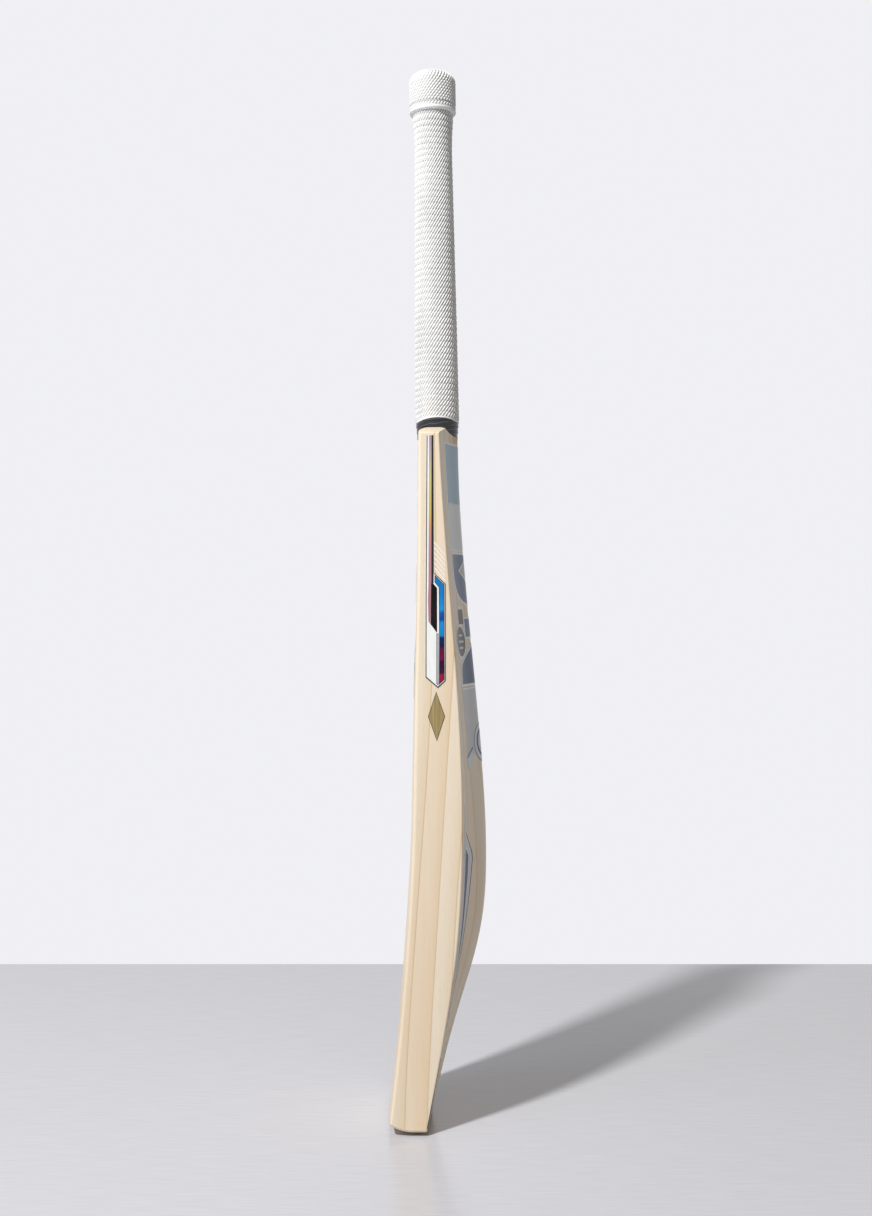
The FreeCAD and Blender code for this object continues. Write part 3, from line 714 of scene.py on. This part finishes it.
def build_print(name, areas, films, side=1):
    """Printed areas on the back (+1) or the face (-1). Outlines are (across, height)."""
    inks = inks_of(areas)
    tree = surface_of("willow_blade", *films)
    bm = bmesh.new()
    for corners, ink, rim, width, level in areas:
        area = flat_area(corners, inks.index(ink), rim and inks.index(rim), width)
        lay_on(area, tree, side, level)
        take_in(bm, area)
    make_piece(name, bm, inks)


def build_edge_print(name, areas, side):
    """Printed areas on one flat edge. Outlines are (depth, height)."""
    inks = inks_of(areas)
    bm = bmesh.new()
    swap_x_and_y = Matrix(((0, 1, 0, 0), (1, 0, 0, 0), (0, 0, 1, 0), (0, 0, 0, 1)))
    for corners, ink, rim, width, level in areas:
        area = flat_area(corners, inks.index(ink), rim and inks.index(rim), width)
        bmesh.ops.transform(area, matrix=swap_x_and_y, verts=area.verts)
        out = side * (EDGE_X + EDGE_INK_BASE + INK_STEP * level) * MM
        bmesh.ops.translate(area, verts=area.verts, vec=(out, 0, 0))
        thicken(area, Vector((-side, 0, 0)))
        take_in(bm, area)
    make_piece(name, bm, inks)


# Edge label
EDGE_LINE = [
    (11.3, 552.7),
    (12.0, 552.7),
    (9.3, 423.0),
    (8.35, 362.4),
    (17.2, 354.5),
    (22.9, 359.5),
    (23.9, 435.0),
    (15.6, 443.4),
    (15.6, 444.3),
    (24.5, 435.4),
    (23.5, 359.0),
    (17.25, 353.2),
    (7.6, 361.8),
    (8.6, 423.0),
]
EDGE_COLOUR_LINE = [
    (13.2, 552.7),
    (15.1, 552.7),
    (13.3, 435.5),
    (12.8, 423.0),
    (12.1, 403.6),
    (10.6, 406.0),
    (10.4, 423.0),
    (11.0, 435.5),
]
EDGE_DARK_LINE = [(15.2, 552.7), (16.5, 552.7), (15.2, 444.0), (15.0, 436.0), (13.3, 436.0)]
NIGHT_PANEL = [(13.1, 436.0), (14.5, 436.0), (17.7, 432.2), (17.2, 396.8), (12.3, 403.6)]
BLUE_BAND = [
    (15.9, 442.6),
    (23.5, 434.9),
    (22.6, 359.9),
    (18.0, 355.9),
    (18.8, 396.0),
    (19.1, 432.7),
    (15.9, 436.6),
]
BAND_GUTTER = [(16.7, 396.4), (18.3, 396.4), (17.6, 355.4), (16.1, 356.6)]
EDGE_LOZENGE = [(15.8, 349.6), (22.0, 331.0), (15.8, 312.4), (9.6, 331.0)]
STRIPE_COUNT, STRIPE_TOP, STRIPE_PITCH = 6, 469.4, 4.05

# Flank of the back
BADGE_X, BADGE_Z = 28.5, 389.0
BADGE_BARS = ((5.0, 393.2), (7.0, 388.2), (5.0, 383.2))  # half length, lower edge
BADGE_BAR_HEIGHT = 1.6
FLASH = [
    (43.6, 226.5),
    (35.5, 218.3),
    (36.1, 204.5),
    (39.1, 184.3),
    (41.2, 158.8),
    (47.0, 116.0),
    (49.2, 92.0),
    (50.0, 92.0),
    (47.8, 135.0),
    (46.8, 168.7),
    (46.5, 198.8),
    (45.5, 220.0),
]
FLASH_SPINE_SIDE = [(41.0, 236.4), (27.0, 219.6), (25.8, 213.8), (33.3, 170.0), (49.8, 71.0)]
FLASH_TAIL = [(51.4, 61.0), (51.9, 30.0), (52.1, 6.0)]
# Ribbons beside those two lines: shift, width, ink.
SPINE_SIDE_RIBBONS = ((0.6, 1.3, "black"), (2.4, 0.9, "white"))
TAIL_RIBBONS = ((-0.4, 0.7, "black"), (0.5, 0.6, "white"), (1.2, 0.6, "black"))


def print_edge(side, word):
    """Line art and colour bands, the lozenge, and the slanted stripes of one edge."""
    art = [
        printed(EDGE_LINE, "black"),
        printed(EDGE_COLOUR_LINE, "stripe_foil"),
        printed(EDGE_DARK_LINE, "black", 2),
        printed(NIGHT_PANEL, "night_foil", 2),
        printed(BLUE_BAND, "band_foil", 2, "black", 0.5),
        printed(BAND_GUTTER, "line_grey", 1, "black", 0.4),
    ]
    build_edge_print(f"edge_print_{word}", art, side)
    build_edge_print(f"edge_lozenge_{word}", [printed(EDGE_LOZENGE, "gold")], side)
    stripes = []
    for i in range(STRIPE_COUNT):
        top = STRIPE_TOP - STRIPE_PITCH * i
        stripe = [(15.9, top), (24.6, top - 10.6), (24.6, top - 12.8), (15.9, top - 2.2)]
        stripes.append(printed(stripe, "cream", 0))
    build_edge_print(f"edge_stripes_{word}", stripes, side)


def print_upper_label():
    """Two fields with a pale line between them."""
    fields = [
        printed(box(-33.0, 33.0, 500.5, 548.3), "blue_grey"),
        printed(box(-33.0, 33.0, 463.6, 500.5), "grey"),
        printed(box(-33.0, 33.0, 499.9, 501.1), "pale", 2),
    ]
    build_print("back_upper_print", fields, ["back_upper_label"])


def print_spine_panels():
    """The shield with a lozenge on it, the block under it, and the peak."""
    shield = oval(0.0, 444.0, 33.2, 26.0, 48)[24:]  # the lower half of an oval
    shield += [(33.2, 444.0), (33.2, 460.9), (-33.2, 460.9)]
    lozenge = both_halves([(0.0, 457.0), (18.8, 446.5), (0.0, 436.0)])
    block = both_halves([(16.4, 408.6), (16.4, 391.4)])
    peak = both_halves([(3.0, 386.8), (29.6, 371.9), (32.9, 365.8), (34.6, 353.4)])
    panels = [
        printed(shield, "slate", 1, "white", PANEL_RIM),
        printed(lozenge, "window", 2, "white", PANEL_RIM),
    ]
    build_print("back_shield_print", panels, ["back_shield_label"])
    panels = [printed(block, "slate", 1, "white", PANEL_RIM)]
    build_print("back_block_print", panels, ["back_block_label"])
    panels = [printed(peak, "navy", 1, "white", PANEL_RIM)]
    build_print("back_peak_print", panels, ["back_peak_label"])


def print_tail_label():
    """A slash and a swallow's tail on each side of the tail label, and a line across its top."""
    slash = [(32.4, 296.6), (19.1, 303.4), (19.1, 302.2), (32.3, 295.3)]
    swallow = [(32.0, 294.0), (19.5, 300.4), (18.4, 296.4), (29.6, 286.0)]
    marks = []
    for side in (1, -1):
        marks.append(printed(on_side(slash, side), "navy"))
        marks.append(printed(on_side(swallow, side), "ice"))
    marks.append(printed(both_halves([(34.2, 351.6), (34.0, 350.2)]), "white"))
    build_print("back_tail_print", marks, ["back_tail_label"])


def print_roundel():
    """Plain rings, one inside the other."""
    rings = [
        printed(disc(306.0, 16.0), "ice", 1, "graphite", 0.6),
        printed(disc(306.0, 11.6), "silver", 2, "deep_navy", 2.3),
    ]
    build_print("back_roundel_print", rings, ["back_roundel"])


def print_flank(side, word):
    """The oval badge with its post and bars, and the flash low on the flank."""
    badge = [
        printed(oval(side * BADGE_X, BADGE_Z, 12.5, 13.0), "dark", 1, "white", 0.9),
        printed(on_side(box(17.6, 28.6, 403.0, 414.9), side), "dark", 2),
        printed(on_side(box(17.6, 28.6, 415.4, 417.6), side), "white", 2),
    ]
    for half, low in BADGE_BARS:
        bar = box(side * (BADGE_X - half), side * (BADGE_X + half), low, low + BADGE_BAR_HEIGHT)
        badge.append(printed(bar, "pale", 2))
    build_print(f"back_badge_print_{word}", badge, [f"back_badge_{word}"])
    marks = [printed(on_side(FLASH, side), "deep_navy", 1, "white", 0.8)]
    for line, ribbons in ((FLASH_SPINE_SIDE, SPINE_SIDE_RIBBONS), (FLASH_TAIL, TAIL_RIBBONS)):
        for shift, width, ink in ribbons:
            marks.append(printed(on_side(ribbon(line, shift, width), side), ink))
    build_print(f"back_flash_print_{word}", marks, [f"back_flash_{word}"])


def chevron(middle, outer, middle_low, outer_low):
    """A V-shaped band across the face label, from its heights in the middle and at its ends."""
    return both_halves([(0.0, middle), (28.2, outer), (28.2, outer_low), (0.0, middle_low)])


def print_face_label():
    """A pointed panel, thin chevrons and rings, and a coloured chevron at the tip."""
    panel = both_halves([(28.2, 547.2), (28.2, 514.0), (0.0, 490.0)])
    art = [
        printed(panel, "slate", 1, "black", 0.6),
        printed(chevron(487.0, 511.0, 482.5, 506.5), "blue_grey"),
        printed(chevron(479.5, 503.5, 477.5, 501.5), "navy"),
        printed(disc(437.0, 17.0), "ice", 1, "graphite", 0.8),
        printed(disc(437.0, 12.0), "silver", 2, "deep_navy", 2.5),
        printed(chevron(368.0, 392.0, 365.0, 389.0), "blue_grey"),
        printed(chevron(361.5, 385.5, 342.6, 372.8), "band_foil", 1, "black", 0.6),
    ]
    build_print("face_print", art, ["face_label"], side=-1)


for side, word in SIDES:
    print_edge(side, word)
print_upper_label()
print_spine_panels()
print_tail_label()
print_roundel()
for side, word in SIDES:
    print_flank(side, word)
print_face_label()


# ---- stage, light and camera -------------------------------------------------------------------
# The axes of the view, in the frame of the bat: up, to the right, and towards the camera.
UP = Vector((0, math.sin(LEAN), math.cos(LEAN)))
RIGHT = Vector((0, math.cos(LEAN), -math.sin(LEAN)))
TOWARDS = Vector((1, 0, 0))
FLOOR_CENTRE, FLOOR_HALF = (0.75, -0.0066, 0), (1.25, 2.2, 1.0)  # metres
LIGHT_AIM = Vector((0, 0.02, 0.42))  # the middle of the bat, in metres
CAMERA_PLACE, CAMERA_LENS = (1.197, 0.01666, 0.41645), 42.93  # metres, and millimetres


def studio_floor():
    """Satin-lacquered pale sheet: soft reflections, and a brushing 1.4 mm fine from side to side."""
    material, tree, shader, place = new_material("satin_lacquered_sheet")
    long = add(tree, "Mapping", {"Vector": place, "Scale": (700, 28, 28)}).outputs[0]
    streak = add(tree, "TexNoise", {"Vector": long, "Scale": 1.0, "Detail": 3.0}).outputs["Fac"]
    body = add(tree, "ValToRGB", {"Fac": streak}, [(0.3, "cecdd2"), (0.7, "d6d6da")])
    rough = add(tree, "MapRange", {"Value": streak, "To Min": 0.15, "To Max": 0.26})
    feed(tree, shader, {"Base Color": body.outputs["Color"], "Roughness": rough.outputs[0]})
    shader.inputs["IOR"].default_value = 1.5
    bm = bmesh.new()
    bmesh.ops.create_grid(bm, x_segments=1, y_segments=1, size=1.0)
    shape = (
        Matrix.Translation(FLOOR_CENTRE)
        @ Matrix.Rotation(-LEAN, 4, "X")
        @ Matrix.Diagonal((*FLOOR_HALF, 1.0))
    )
    bmesh.ops.transform(bm, matrix=shape, verts=bm.verts)
    mesh = bpy.data.meshes.new("studio_floor")
    bm.to_mesh(mesh)
    bm.free()
    mesh.materials.append(material)
    floor = bpy.data.objects.new("studio_floor", mesh)
    bpy.context.scene.collection.objects.link(floor)


def soft_light(name, direction, distance, size, power, tint="ffffff"):
    """A round soft box aimed at the middle of the bat: metres, and a power in watts."""
    data = bpy.data.lights.new(name, "AREA")
    data.shape = "DISK"
    data.size = size
    data.energy = power
    data.color = colour(tint)[:3]
    lamp = bpy.data.objects.new(name, data)
    towards = Vector(direction).normalized()
    lamp.location = LIGHT_AIM + towards * distance
    lamp.rotation_mode = "QUATERNION"
    lamp.rotation_quaternion = towards.to_track_quat("Z", "Y")
    bpy.context.scene.collection.objects.link(lamp)
    return lamp


def studio_air():
    """Even pale surroundings. The eye and the reflections see them near white, and they light the
    bat more gently than that, because the room behind the light is dark."""
    world = bpy.data.worlds.new("pale_studio")
    bpy.context.scene.world = world
    world.use_nodes = True
    tree = world.node_tree
    tree.nodes.clear()
    seen = add(tree, "Background", {"Color": colour("f0f0f4"), "Strength": 1.0}).outputs[0]
    lit = add(tree, "Background", {"Color": colour("faf6f0"), "Strength": 0.19}).outputs[0]
    ray = add(tree, "LightPath", {}).outputs
    bright = add(tree, "Math", {0: ray["Is Camera Ray"], 1: ray["Is Glossy Ray"]}, operation="MAXIMUM")
    both = add(tree, "MixShader", {0: bright.outputs[0], 1: lit, 2: seen})
    add(tree, "OutputWorld", {"Surface": both.outputs[0]})


def edge_camera():
    """Looks straight at the edge, level with the middle of the bat."""
    data = bpy.data.cameras.new("edge_camera")
    data.lens = CAMERA_LENS
    data.sensor_width = 36.0
    camera = bpy.data.objects.new("edge_camera", data)
    turn = Matrix((RIGHT, UP, TOWARDS)).transposed()
    camera.rotation_mode = "QUATERNION"
    camera.rotation_quaternion = turn.to_quaternion()
    camera.location = CAMERA_PLACE
    bpy.context.scene.collection.objects.link(camera)
    bpy.context.scene.camera = camera


studio_floor()
studio_air()
soft_light("key_soft_box", (0.545, -0.41, 0.731), 3.0, 0.26, 96.0)
side_box = soft_light("side_soft_box", (0.5, -0.8, 0.33), 2.2, 1.1, 6.0, "dfe8ff")
side_box.visible_glossy = False  # it would show as a disc in the floor
edge_camera()
bpy.context.scene.view_settings.view_transform = "Standard"
